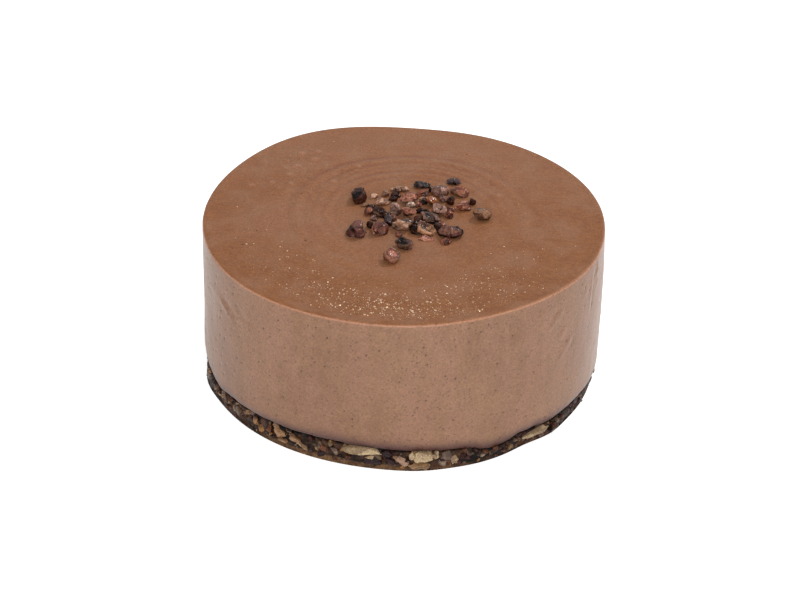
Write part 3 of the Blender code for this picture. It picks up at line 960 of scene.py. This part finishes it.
def mousse_finish(name, gloss, sheen):
    """Set mousse: a mauve, finely pored side and a browner, streaked top, with a painted highlight on the
    rim and bumps, painted light and shade on the swirl, painted shade in the pores and along the low
    edge, and a painted reflection towards the back.
    """
    finish, tree, shader = new_finish(name)
    place = place_of(tree)
    on_top = number_of(tree, "on_top")
    patches = noise_of(tree, place, PATCHES, 4.0)
    grain = noise_of(tree, place, GRAIN, 2.0)
    drawn_out = stretched(tree, place, (1 / STREAK_DRAWN_OUT, 1.0, 1.0))
    streaks = noise_of(tree, drawn_out, STREAK_SIZE, 4.0)
    # Fine pores from cells, pressed in by the bump and painted darker as painted shade.
    cells = {"Vector": place, "Scale": 1 / (PIT_SPACING * MM), "Randomness": 1.0}
    from_pit = add_node(tree, "ShaderNodeTexVoronoi", cells).outputs["Distance"]
    pits_and_shade = spread(tree, from_pit, 0.09, 0.20, 1.0, 0.0)
    pit_shade_share = maths(tree, "SUBTRACT", 0.5, maths(tree, "MULTIPLY", on_top, 0.4))
    dark = maths(tree, "MAXIMUM", maths(tree, "MULTIPLY", pits_and_shade, pit_shade_share), number_of(tree, "dark"))
    tone = weighed(tree, (noise_of(tree, place, WIDE_PATCHES, 2.0), 0.5), (patches, 0.5))
    top = top_colour(tree, place, tone, streaks)
    colour = layered(
        tree,
        blended(tree, on_top, side_colour(tree, place, tone), top),
        # Painted shade along the low edge.
        (number_of(tree, "low_edge_shade"), LOW_EDGE_SHADE_COLOUR),
        # A painted highlight on the rim and the bumps.
        (number_of(tree, "painted_highlight"), PAINTED_HIGHLIGHT_COLOUR),
    )
    colour = shaded(tree, colour, spread(tree, grain, 0.30, 0.72, 0.78, 1.18))
    top_streaks = maths(tree, "MULTIPLY", streaks, on_top)
    relief = weighed(tree, (grain, 0.35), (pits_and_shade, -1.0), (top_streaks, 1.4))
    rough = spread(tree, on_top, 0.0, 1.0, 0.50, 0.43)
    set_inputs(tree, shader, {
        # Painted shade in the pressed and the fine pores.
        "Base Color": layered(tree, colour, (dark, PORE_SHADE_COLOUR)),
        "Normal": bumps_of(tree, relief, SURFACE_DEPTH),
        "Roughness": maths(tree, "ADD", rough, spread(tree, patches, 0.3, 0.7, -0.04, 0.05)),
        "Specular IOR Level": gloss,
        "Sheen Weight": sheen,
        "Sheen Roughness": 0.35,
    })
    return finish


def bead_finish():
    """Moist beads: wet, most of them barely lighter than the mousse, their paleness a painted glint."""
    finish, tree, shader = new_finish("moist_beads")
    rough = spread(tree, noise_of(tree, place_of(tree), 1.5), 0.3, 0.7, 0.08, 0.20)
    set_inputs(tree, shader, {"Base Color": tone_of(tree), "Roughness": rough})
    return finish


def toned_finish(name, rough_low, rough_high, grain_size, bump, gloss, coat):
    """A finish whose colour comes from each point's tone, with grain and uneven gloss."""
    finish, tree, shader = new_finish(name)
    place = place_of(tree)
    grain = noise_of(tree, place, grain_size, 4.0)
    patches = noise_of(tree, place, grain_size * 4, 2.0)
    set_inputs(tree, shader, {
        "Base Color": shaded(tree, tone_of(tree), spread(tree, grain, 0.32, 0.68, 0.58, 1.42)),
        "Roughness": spread(tree, patches, 0.35, 0.65, rough_low, rough_high),
        "Normal": bumps_of(tree, grain, bump),
        "Specular IOR Level": gloss,
        "Coat Weight": coat,
        "Coat Roughness": 0.07,
    })
    return finish


def mousse_rings():
    """Rings of the mousse, from the underside out, up the side and in over the top."""
    rings = []
    for count, radius in UNDERSIDE_RINGS:
        angle = circle(count)
        rings.append(around(angle, radius, crust_top(angle, radius)))
    angle = circle(COLUMNS)
    base = seam_height(angle)
    rings.append(around(angle, seam_radius(angle), base))
    low = base + ROLL_HEIGHT
    for row in range(1, ROLL_ROWS + 1):
        quarter = row / ROLL_ROWS * math.pi / 2
        radius = mix(seam_radius(angle), side_radius(angle, low), math.sin(quarter))
        rings.append(around(angle, radius, base + ROLL_HEIGHT * (1 - math.cos(quarter))))
    for row in range(1, SIDE_ROWS + 1):
        z = mix(low, TOP_HEIGHT - EDGE_ROUND, row / SIDE_ROWS)
        rings.append(around(angle, side_radius(angle, z), z))
    for row in range(1, EDGE_ROWS + 1):
        quarter = row / EDGE_ROWS * math.pi / 2
        z = TOP_HEIGHT - EDGE_ROUND * (1 - math.sin(quarter))
        rings.append(around(angle, side_radius(angle, z) - EDGE_ROUND * (1 - math.cos(quarter)), z))
    for count, start, end in TOP_RINGS:
        steps = round((start - end) / TOP_ROW_STEP)
        rings += [top_ring(count, start - row * TOP_ROW_STEP) for row in range(steps + 1)]
    return rings


def crease_list():
    """The creases that show at the front, and seeded ones like them round the back."""
    draw = random.Random(CREASE_SEED)
    creases = list(CREASES)
    for index in range(HIDDEN_CREASES):
        direction = mix(HIDDEN_CREASES_FROM, HIDDEN_CREASES_TO, (index + draw.random()) / HIDDEN_CREASES)
        z = draw.uniform(16, 37)
        run = draw.uniform(3, 7)
        drop = draw.uniform(-4, 1)
        creases.append((direction, z, direction + run, z + drop, draw.choice(HIDDEN_CREASE_DEPTHS)))
    return creases


def crease_field(points):
    """How far creases raise each point of the side."""
    turn = np.degrees(angle_of(points))
    total = np.zeros(len(points))
    for start, start_z, end, end_z, depth in crease_list():
        along = np.radians((turn - start + 180) % 360 - 180) * RIM_RADIUS
        up = points[:, 2] - start_z
        run = math.radians(end - start) * RIM_RADIUS
        rise = end_z - start_z
        length = math.hypot(run, rise)
        share = (along * run + up * rise) / length ** 2
        across = (along * rise - up * run) / length
        taper = smooth((share + 0.15) / 0.3) * smooth((1.15 - share) / 0.3)
        line = bell(across, CREASE_WIDTH)
        lip = CREASE_LIP * bell(across - 1.5 * CREASE_WIDTH, CREASE_WIDTH)
        total -= depth * taper * (line - lip)
    return total * (0.8 + 0.8 * noise(points, 2.2, 91))


def bump_field(points):
    """Low soft bumps in one patch of the top."""
    draw = np.random.default_rng(BUMP_SEED)
    small = draw.normal(BUMP_MIDDLE, BUMP_SPREAD, (SMALL_BUMPS, 2))
    total = np.zeros(len(points))
    for index, middle in enumerate([*LARGE_BUMPS, *small]):
        largest = index < len(LARGE_BUMPS)
        width = draw.uniform(0.75, 1.0) if largest else draw.uniform(0.45, 0.8)
        height = BUMP_HEIGHT if largest else BUMP_HEIGHT * draw.uniform(0.2, 0.6)
        total += height * bell(far_from(points, *middle), width)
    return np.minimum(total, 1.2 * BUMP_HEIGHT)


def press_pore(points, normals, dark, grid, row, column, radius, depth):
    """Draws the eight neighbours of a grid point in to a small ring, presses the point inwards, and gives
    it full painted shade.
    """
    centre = grid[row, column]
    middle = points[centre].copy()
    for row_step, column_step in itertools.product((-1, 0, 1), repeat=2):
        beside = grid[row + row_step, (column + column_step) % COLUMNS]
        if beside == centre:
            continue
        outward = points[beside] - middle
        points[beside] = middle + outward * (radius / np.linalg.norm(outward))
    points[centre] -= normals[centre] * depth
    dark[centre] = 1.0


def pore_places(points, grid):
    """Grid rows and columns for the pores, the listed ones first, none close to another."""
    draw = random.Random(PORE_SEED)
    side_rows = (4, ROLL_ROWS + SIDE_ROWS - 4)
    top_rows = (ROLL_ROWS + SIDE_ROWS + EDGE_ROWS + 5, len(grid) - 3)
    wanted = []
    for direction, z in LARGE_PORES:
        column = round(direction / 360 * COLUMNS) % COLUMNS
        row = int(np.abs(points[grid[: side_rows[1], column], 2] - z).argmin())
        wanted.append((row, column, draw.uniform(*LARGE_PORE_SIZES)))
    for x, y, size in TOP_PITS:
        apart = np.hypot(points[grid, 0] - x, points[grid, 1] - y)
        apart[: top_rows[0]] = RIM_RADIUS
        row, column = np.unravel_index(apart.argmin(), apart.shape)
        wanted.append((int(row), int(column), size))
    for count, rows in ((SIDE_PORES, side_rows), (TOP_PORES, top_rows)):
        for _ in range(count):
            size = SMALLEST_PORE + PORE_RANGE * draw.random() ** 2.5
            wanted.append((draw.randint(*rows), draw.randrange(COLUMNS), size))
    taken = np.zeros((len(grid), COLUMNS), bool)
    for row, column, size in wanted:
        columns = (column + np.arange(-PORE_ROOM, PORE_ROOM + 1)) % COLUMNS
        near = np.ix_(range(max(row - PORE_ROOM, 0), min(row + PORE_ROOM + 1, len(grid))), columns)
        if taken[near].any():
            continue
        taken[row, column] = True
        yield row, column, size


def tint_shares(points, normals, level, bumps):
    """How much of each tint the mousse has at its points: a painted highlight on the rim and bumps,
    painted light on the ridges, painted shade between them and along the low edge, and a painted
    reflection at the back, with greyer places.
    """
    # The rim's rounded edge, where it faces up and out, gets a painted highlight, and so do the bumps.
    high = smooth((points[:, 2] - TOP_HEIGHT + RIM_HIGHLIGHT_DEPTH) / (RIM_HIGHLIGHT_DEPTH / 2))
    at_rim = high * bell(normals[:, 2] - RIM_NORMAL, 0.30)
    # Painted reflection: the top is painted greyer towards its back.
    far_back = points[:, 1] - BACK_FROM + 8 * noise(points, 16.0, 171)
    behind = BACK_AMOUNT * smooth(far_back / BACK_REACH)
    # The lower edge and a line along the seam are painted darker, as painted shade.
    above_seam = points[:, 2] - seam_height(angle_of(points))
    below = LOW_EDGE_HEIGHT + 1.2 * noise(points, 8.0, 161) - above_seam
    low_edge_shade = LOW_EDGE_AMOUNT * smooth(below / LOW_EDGE_HEIGHT)
    low_edge_shade += LOW_LINE_AMOUNT * smooth((LOW_LINE_HEIGHT - above_seam) / 2.4)
    return {
        "painted_highlight": np.maximum(at_rim, 0.55 * bumps / BUMP_HEIGHT),
        "ridge": level * ridge_height(points) / RIDGES[0][1],
        "behind": np.maximum(behind, grey_places(points)),
        "band": level * band_shade_share(points),
        "low_edge_shade": low_edge_shade,
    }


def press_pores(points, normals, rings, starts):
    """Presses all the pores into the mousse, and returns how much painted shade each point gets."""
    first_row = len(UNDERSIDE_RINGS) + 1
    rows = [start for start, ring in zip(starts[first_row:], rings[first_row:]) if len(ring) == COLUMNS]
    grid = np.array(rows)[:, None] + np.arange(COLUMNS)
    dark = np.zeros(len(points))
    for row, column, size in pore_places(points, grid):
        press_pore(points, normals, dark, grid, row, column, size, PORE_DEPTH * size)
    return dark


def make_mousse():
    """The mousse: one closed body with its unevenness, streaks, creases, bumps and pores."""
    rings = mousse_rings()
    top = (*SWIRL_MIDDLE, TOP_HEIGHT - DISH_DEPTH)
    points, triangles, starts = skin((0.0, 0.0, CRUST_MIDDLE), rings, top)
    normals = point_normals(points, triangles)
    on_top = smooth((normals[:, 2] - 0.55) / 0.4)
    on_side = smooth(1 - np.abs(normals[:, 2]) * 1.6)
    level = on_top * smooth((RIM_RADIUS - 2 - far_from(points)) / 3)
    rise = on_side * (layered_noise(points, SIDE_UNEVEN, 101) + crease_field(points))
    streaks = STREAK_HEIGHT * noise(points / (STREAK_DRAWN_OUT, 1.0, 1.0), STREAK_SIZE, 211)
    bumps = level * bump_field(points)
    rise += level * (layered_noise(points, TOP_UNEVEN, 151) + streaks) + bumps
    points += normals * rise[:, None]
    numbers = tint_shares(points, normals, level, bumps)
    numbers["on_top"] = on_top
    normals = point_normals(points, triangles)
    # Painted shade in the pressed pores.
    numbers["dark"] = press_pores(points, normals, rings, starts)
    piece = new_piece("mousse_body", points, triangles, mousse_finish(*SIDE_FINISH), numbers)
    piece.data.materials.append(mousse_finish(*TOP_FINISH))
    facing_up = (normals[triangles, 2].mean(axis=1) > RIM_NORMAL).astype(np.int32)
    piece.data.polygons.foreach_set("material_index", facing_up)
    return piece


class TopFace:
    """Finds the top's height under a place, on the finished mousse."""

    def __init__(self, piece):
        self.tree = KDTree(len(piece.data.vertices))
        self.heights = []
        for index, vertex in enumerate(piece.data.vertices):
            place = np.array(vertex.co) / MM - AXIS
            self.heights.append(place[2])
            if place[2] > TOP_HEIGHT - 1.2:
                self.tree.insert((place[0], place[1], 0.0), index)
        self.tree.balance()

    def height(self, x, y):
        return self.heights[self.tree.find((x, y, 0.0))[1]]


def make_glints(top_face):
    """Small moist beads, thickest towards the front of the top."""
    draw = np.random.default_rng(BEAD_SEED)
    directions, triangles = ball(2)
    gathered = Gathered()
    for middle, half_width, near, far, count, largest in GLINT_PATCHES:
        for _ in range(count):
            angle = math.radians(middle + half_width * draw.normal() * 0.6)
            radius = math.sqrt(draw.uniform(near ** 2, far ** 2))
            width = largest * (0.25 + 0.75 * draw.random() ** 4)
            size = np.array((width * draw.uniform(0.8, 1.7), width, width * 0.7)) / 2
            bead = turned(directions * size, 0, 0, draw.uniform(0, 360))
            x, y = radius * math.cos(angle), radius * math.sin(angle)
            place = (x, y, top_face.height(x, y) + 0.1 * width)
            # A bead's paleness is a painted glint.
            glint_paleness = draw.random() ** BEAD_FADING
            colour = mix(linear(BEAD_GLINT_COLOURS[0]), linear(BEAD_GLINT_COLOURS[1]), glint_paleness)
            gathered.add(bead + place, triangles, np.tile(colour, (len(bead), 1)))
    return gathered.piece("mousse_beads", bead_finish())


def nib_form(directions, size, scoop, tone, draw):
    """One broken nib, cracked and chipped, its upper face hollowed if it is a piece of shell."""
    rugged = BOWL_RUGGED if tone == "bowl" else 1.0
    flats = int(draw.integers(9, 15))
    sharpness = draw.uniform(*NIB_SHARPNESS)
    points, facet = broken_form(directions, size, draw, flats, sharpness, NIB_ROUGH * rugged, *NIB_REACH)
    colours = tone_colours(points, facet, NIB_TONES[tone], size[1], draw)
    seed = int(draw.integers(1, 10000))
    cracks = bell(noise(points, 0.40 * size[1], seed), 0.14)
    cracks *= smooth((noise(points, 0.9 * size[1], seed + 1) + 0.15) / 0.4)
    chips = smooth((noise(points, 0.30 * size[1], seed + 2) - 0.15) / 0.3)
    points *= (1 - rugged * (NIB_CRACK_DEPTH * cracks + NIB_CHIP_DEPTH * chips))[:, None]
    points *= np.array(size) / np.ptp(points, axis=0)
    across = np.hypot(points[:, 0] / size[0], points[:, 1] / size[1]) * 2
    hollow = smooth((0.85 - across) / 0.55) * (points[:, 2] > 0)
    points[:, 2] -= scoop * hollow
    # Cracks and chips are painted darker, as painted shade in them.
    colours = colours * (1 - rugged * (0.82 * cracks + 0.15 * chips))[:, None]
    if tone == "bowl":
        colours = mix(colours, linear(BOWL_INSIDE), hollow[:, None])
    rim = bell(across - 0.88, 0.12) * (points[:, 2] > 0) * min(scoop, 1.0)
    colours = mix(colours, linear(SHELL_RIM_COLOUR), rim[:, None])
    # Painted shade on the nib's lower part, where it sits on the top.
    low = smooth((-0.08 - points[:, 2] / size[2]) / 0.25)
    return points, colours * (1 - NIB_LOW_SHADE * low)[:, None]


def make_nibs(top_face):
    """The cluster of cacao nibs, as one piece for each group of tones."""
    draw = np.random.default_rng(NIB_SEED)
    fine, coarse = ball(5), ball(4)
    groups = {name: Gathered() for name in NIB_GROUPS}
    for x, y, length, width, thickness, turn, tone, *raised in NIBS:
        lift, scoop = raised or (0.0, 0.0)
        size = (length, width, thickness)
        directions, triangles = fine if length > NIB_FINE_FROM else coarse
        points, colours = nib_form(directions, size, scoop, tone, draw)
        tilts = draw.uniform(-NIB_TILT, NIB_TILT, 2)
        points = turned(points, *tilts, turn)
        stand = top_face.height(x, y) - NIB_SINK - np.quantile(points[:, 2], NIB_BEDDED)
        points = points + (x, y, stand + lift)
        groups[group_of(tone, NIB_GROUPS)].add(points, triangles, colours)
    return toned_pieces(groups)


def toned_pieces(groups):
    """One piece for each group of gathered parts, with its listed finish."""
    return [gathered.piece(name, toned_finish(*FINISHES[name])) for name, gathered in groups.items()]


def crust_relief(points, share):
    """How far the crust's face stands in or out, and its hollows under the mousse, which also carry
    painted shade.
    """
    rough = 0.30 * noise(points, 1.7, 301) + 0.18 * noise(points, 0.75, 302)
    pit_and_shade = smooth((noise(points, 1.4, 303) - 0.05) / 0.35) * smooth((share - 0.35) / 0.4)
    return np.minimum(rough, 0.2) - CRUST_BODY_INSET - 0.5 * pit_and_shade, pit_and_shade


def make_crust_body():
    """The sticky dark mass that holds the nuts and dates."""
    angle = circle(COLUMNS)
    seam = seam_height(angle)
    radius = crust_radius(angle)
    rings = [around(angle[::4], reach, 0.0) for reach in (15.0, 42.0)]
    rings += [around(circle(320), 48.0, 0.0), around(angle, radius - CRUST_FOOT_ROUND, 0.0)]
    pits_and_shade = [np.zeros(len(ring)) for ring in rings]
    for row in range(1, CRUST_ROWS + 1):
        share = row / (CRUST_ROWS + 1)
        place = around(angle, radius, share * seam)
        relief, pit_and_shade = crust_relief(place, np.full(COLUMNS, share))
        rings.append(around(angle, radius + relief, share * seam))
        pits_and_shade.append(pit_and_shade)
    rings.append(around(angle, radius - 0.8, seam - 0.05))
    rings.append(around(angle, radius - SEAM_INSET - 0.3, seam - 0.05))
    # The ledge under the mousse's edge gets painted shade.
    pits_and_shade += [np.full(COLUMNS, 0.3), np.full(COLUMNS, 0.5)]
    for count, reach in reversed(UNDERSIDE_RINGS):
        inner = circle(count)
        rings.append(around(inner, reach, crust_top(inner, reach) - 0.1))
        # The crust's upper face under the mousse gets full painted shade.
        pits_and_shade.append(np.ones(count))
    points, triangles, _ = skin((0.0, 0.0, 0.0), rings, (0.0, 0.0, CRUST_MIDDLE - 0.1))
    colours = {"tone": crust_colours(points, np.concatenate([[0.0]] + pits_and_shade + [[1.0]]))}
    finish = toned_finish(*FINISHES["crust_body"])
    return new_piece("crust_body", points, triangles, finish, colours=colours)


def crust_colours(points, pit_and_shade):
    """Near-black date and cacao with browner patches, painted shade in its hollows and under the mousse,
    and painted light reflected from the floor, lighter and golden, along the bottom edge.
    """
    angle = angle_of(points)
    # Painted shade in the hollows and under the mousse.
    share = 0.42 + 0.42 * noise(points, 1.6, 311) + 0.32 * noise(points, 0.6, 312) - 0.5 * pit_and_shade
    body = toned(CRUST_BODY_TONES, share - lumps(angle, CRUST_DARK_PLACES))
    low = toned(CRUST_FOOT_LIGHT_TONES, 0.5 + 0.5 * noise(points, 1.2, 313))
    # Painted light reflected from the floor along the crust's foot.
    foot_light = lumps(angle, CRUST_FOOT_LIGHT_PLACES)
    edge = smooth((1.0 + 0.6 * foot_light + 0.35 * noise(points, 3.0, 314) - points[:, 2]) / 0.4)
    return mix(body, low, (edge * smooth(0.18 + foot_light + 0.3 * noise(points, 7.0, 315)))[:, None])


def hidden_pieces(draw):
    """Nuts and date pieces round the back, as in the part's source."""
    for index in range(HIDDEN_PIECES):
        step = (index + draw.uniform(0.25, 0.75)) / HIDDEN_PIECES
        direction = mix(HIDDEN_FROM, HIDDEN_TO, step) % 360
        length = draw.uniform(2.4, 7.0)
        tall = draw.uniform(1.8, 2.6)
        height = draw.uniform(0.35, 0.6) * seam_height(np.array([math.radians(direction)]))[0]
        tone = HIDDEN_TONES[index % len(HIDDEN_TONES)]
        yield direction, height, length, tall, draw.uniform(-30, 30), draw.uniform(0.2, 0.6), tone


def scattered_bits(count, shortest, longest, out, tones, draw):
    """Bits all round the crust's face, mostly the smaller ones."""
    for index in range(count):
        direction = (index + draw.random()) / count * 360
        angle = np.array([math.radians(direction)])
        length = mix(shortest, longest, draw.random() ** 2)
        tall = length * draw.uniform(0.55, 0.95)
        height = draw.uniform(0.3 + tall / 3, seam_height(angle)[0] - tall / 5)
        dark = any(start < direction < end for start, end in DARK_STRETCHES)
        tone = draw.choice(DARK_TONES if dark else tones)
        yield direction, height, length, tall, draw.uniform(-60, 60), draw.uniform(*out), tone


def set_in_crust(gathered, shape, bit, draw, depth, flats):
    """Adds one bit to a gathered piece, set in the crust's face and held between its two faces."""
    directions, triangles = shape
    direction, height, length, tall, slope, out, tone = bit
    angle = np.array([math.radians(direction)])
    points, facet = broken_form(directions, (length, depth, tall), draw, flats=flats, sharpness=12.0)
    colours = tone_colours(points, facet, CRUST_TONES[tone], tall, draw)
    points = turned(points, 0, -slope, direction + 90)
    reach = (crust_radius(angle) - lumps(angle, CRUST_TUCKED))[0] + out - depth / 2
    points = points + (reach * math.cos(angle[0]), reach * math.sin(angle[0]), height)
    here = angle_of(points)
    from_face = far_from(points) - crust_radius(here)
    lip = CRUST_LIP * smooth((from_face + CRUST_LIP_DEPTH) / CRUST_LIP_DEPTH)
    points[:, 2] = np.clip(points[:, 2], 0.1, seam_height(here) + 0.05 + lip)
    gathered.add(points, triangles, colours)


def make_crust_bits():
    """The nuts, the dates and the crumbs of the crust."""
    order = random.Random(CRUST_SEED)
    draw = np.random.default_rng(CRUST_SEED)
    groups = {name: Gathered() for name in (*CRUST_GROUPS, "crust_crumbs")}
    large, small = ball(4), ball(3)
    bits = [(bit, large, CRUST_PIECE_DEPTH) for bit in [*CRUST_PIECES, *hidden_pieces(order)]]
    bits += [(bit, small, MEDIUM_DEPTH) for bit in scattered_bits(*MEDIUM_BITS, order)]
    for bit, shape, depth in bits:
        set_in_crust(groups[group_of(bit[-1], CRUST_GROUPS)], shape, bit, draw, depth, CRUST_PIECE_FLATS)
    for bit in scattered_bits(*CRUMBS, order):
        set_in_crust(groups["crust_crumbs"], small, bit, draw, CRUMB_DEPTH, CRUMB_FLATS)
    return toned_pieces(groups)


def make_floor():
    """A plain white surface, wide enough to fill the view."""
    form = bmesh.new()
    bmesh.ops.create_circle(form, cap_ends=True, segments=96, radius=FLOOR_RADIUS)
    mesh = bpy.data.meshes.new("floor")
    form.to_mesh(mesh)
    form.free()
    finish, tree, shader = new_finish("white_surface")
    set_inputs(tree, shader, {
        "Base Color": FLOOR_COLOUR,
        "Roughness": 0.9,
        "Emission Color": (1.0, 1.0, 1.0, 1.0),
        "Emission Strength": FLOOR_LIFT,
    })
    mesh.materials.append(finish)
    floor = new_object("floor", mesh)


def make_light(name, place, width, power):
    """A square area light that faces the cake's middle."""
    light = bpy.data.lights.new(name, "AREA")
    light.size = width
    light.energy = power
    lamp = new_object(name, light)
    lamp.location = place
    aim = Vector((0.0, 0.0, CAMERA_PIVOT * MM)) - lamp.location
    lamp.rotation_euler = aim.to_track_quat("-Z", "Y").to_euler()


def make_world():
    world = bpy.data.worlds.new("studio")
    world.use_nodes = True
    background = world.node_tree.nodes["Background"]
    background.inputs["Color"].default_value = (1.0, 1.0, 1.0, 1.0)
    background.inputs["Strength"].default_value = WORLD_STRENGTH
    bpy.context.scene.world = world
    bpy.context.scene.view_settings.view_transform = "Standard"


def make_camera():
    """The photograph's view: a long lens from the front, a little rolled."""
    rise = math.radians(CAMERA_ELEVATION)
    axis = Vector(AXIS) * MM
    back = Vector((0.0, -math.cos(rise), math.sin(rise)))
    place = axis + Vector((0.0, 0.0, CAMERA_PIVOT * MM)) + back * CAMERA_DISTANCE * MM
    aim = axis + Vector(CAMERA_AIM) * MM - place
    data = bpy.data.cameras.new("camera")
    data.lens = CAMERA_LENS
    data.sensor_width = SENSOR_WIDTH
    data.clip_start = 0.01
    camera = new_object("camera", data)
    camera.location = place
    roll = Quaternion((0.0, 0.0, 1.0), math.radians(CAMERA_ROLL))
    camera.rotation_euler = (aim.to_track_quat("-Z", "Y") @ roll).to_euler()
    bpy.context.scene.camera = camera


def main():
    make_world()
    make_floor()
    make_light("key", *KEY_LIGHT)
    make_light("fill", *FILL_LIGHT)
    make_camera()
    mousse = make_mousse()
    top_face = TopFace(mousse)
    beads = make_glints(top_face)
    nibs = make_nibs(top_face)
    crust = make_crust_body()
    nuts, dates, crust_crumbs = make_crust_bits()
    for piece in [mousse, beads, *nibs, crust, nuts, dates, crust_crumbs]:
        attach(piece, "root")
    for piece in [mousse, beads, *nibs]:
        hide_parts("mousse")
    for piece in [crust, nuts, dates, crust_crumbs]:
        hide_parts("crust")


main()
